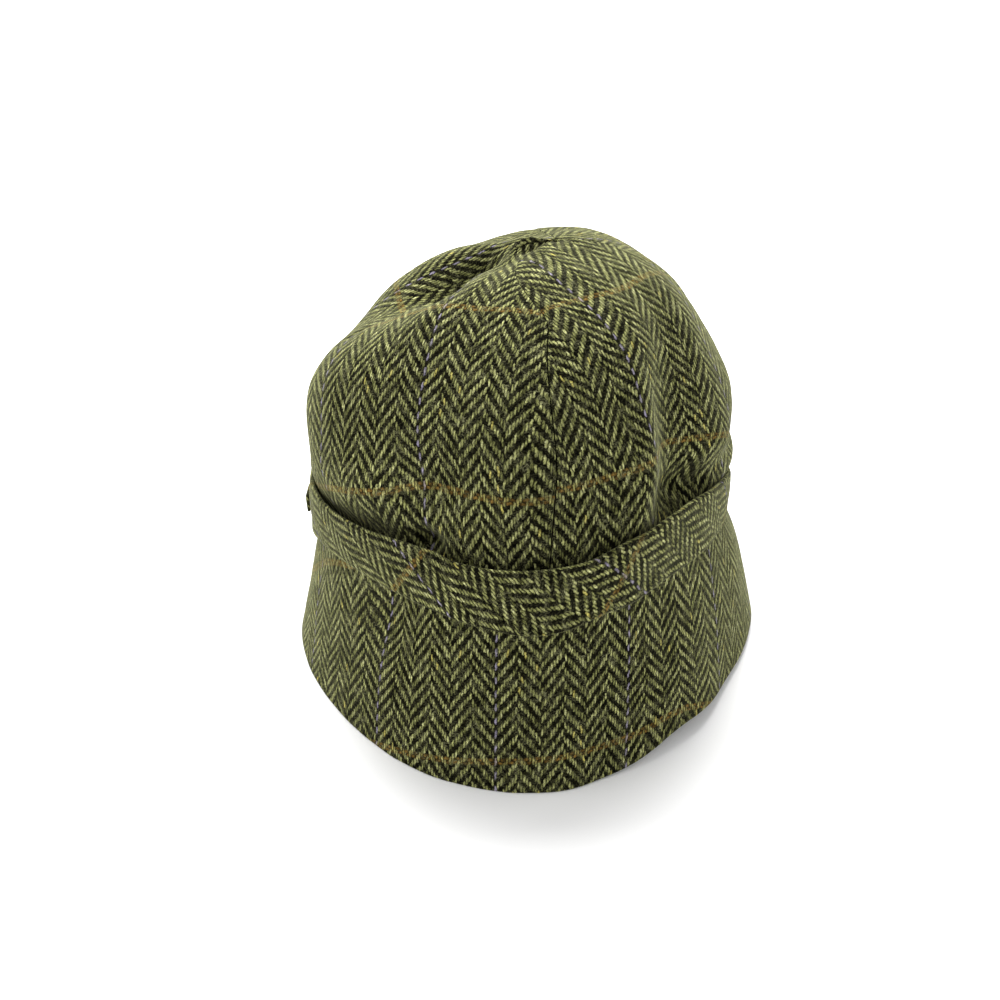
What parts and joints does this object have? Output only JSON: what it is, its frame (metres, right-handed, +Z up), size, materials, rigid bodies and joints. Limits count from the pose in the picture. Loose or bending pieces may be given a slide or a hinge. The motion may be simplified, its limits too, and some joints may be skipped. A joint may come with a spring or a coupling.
{
  "type": "cloche hat",
  "caption": "Soft tweed cloche hat: panelled crown with a side fold, bias band with a lapped end, and a steep bell brim resting on its rim.",
  "frame": {"origin": "middle of the brim's bounding box on the level that the rim rests on", "axes": "+Z up, from the rim to the crown's apex; -Y towards the front of the hat, where the brim is deepest; +X towards the right of the picture, which is the wearer's left"},
  "size_m": [0.2109, 0.234, 0.1758],
  "materials": {
    "crown_panel_front_left_tweed": "matte herringbone wool tweed, olive on dark green",
    "crown_panel_front_right_tweed": "matte herringbone wool tweed, olive on dark green",
    "crown_panel_back_left_tweed": "matte herringbone wool tweed, olive on dark green",
    "crown_panel_back_right_tweed": "matte herringbone wool tweed, olive on dark green",
    "brim_tweed": "matte herringbone wool tweed, olive on dark green",
    "band_tweed": "matte herringbone wool tweed cut on the bias",
    "band_end_tweed": "matte herringbone wool tweed cut on the bias"
  },
  "bodies": {
    "root": {"crown_panel_front_left": "crown_panel_front_left_tweed", "crown_panel_front_right": "crown_panel_front_right_tweed", "crown_panel_back_left": "crown_panel_back_left_tweed", "crown_panel_back_right": "crown_panel_back_right_tweed", "brim": "brim_tweed", "band": "band_tweed", "band_end": "band_end_tweed"}
  },
  "joints": []
}
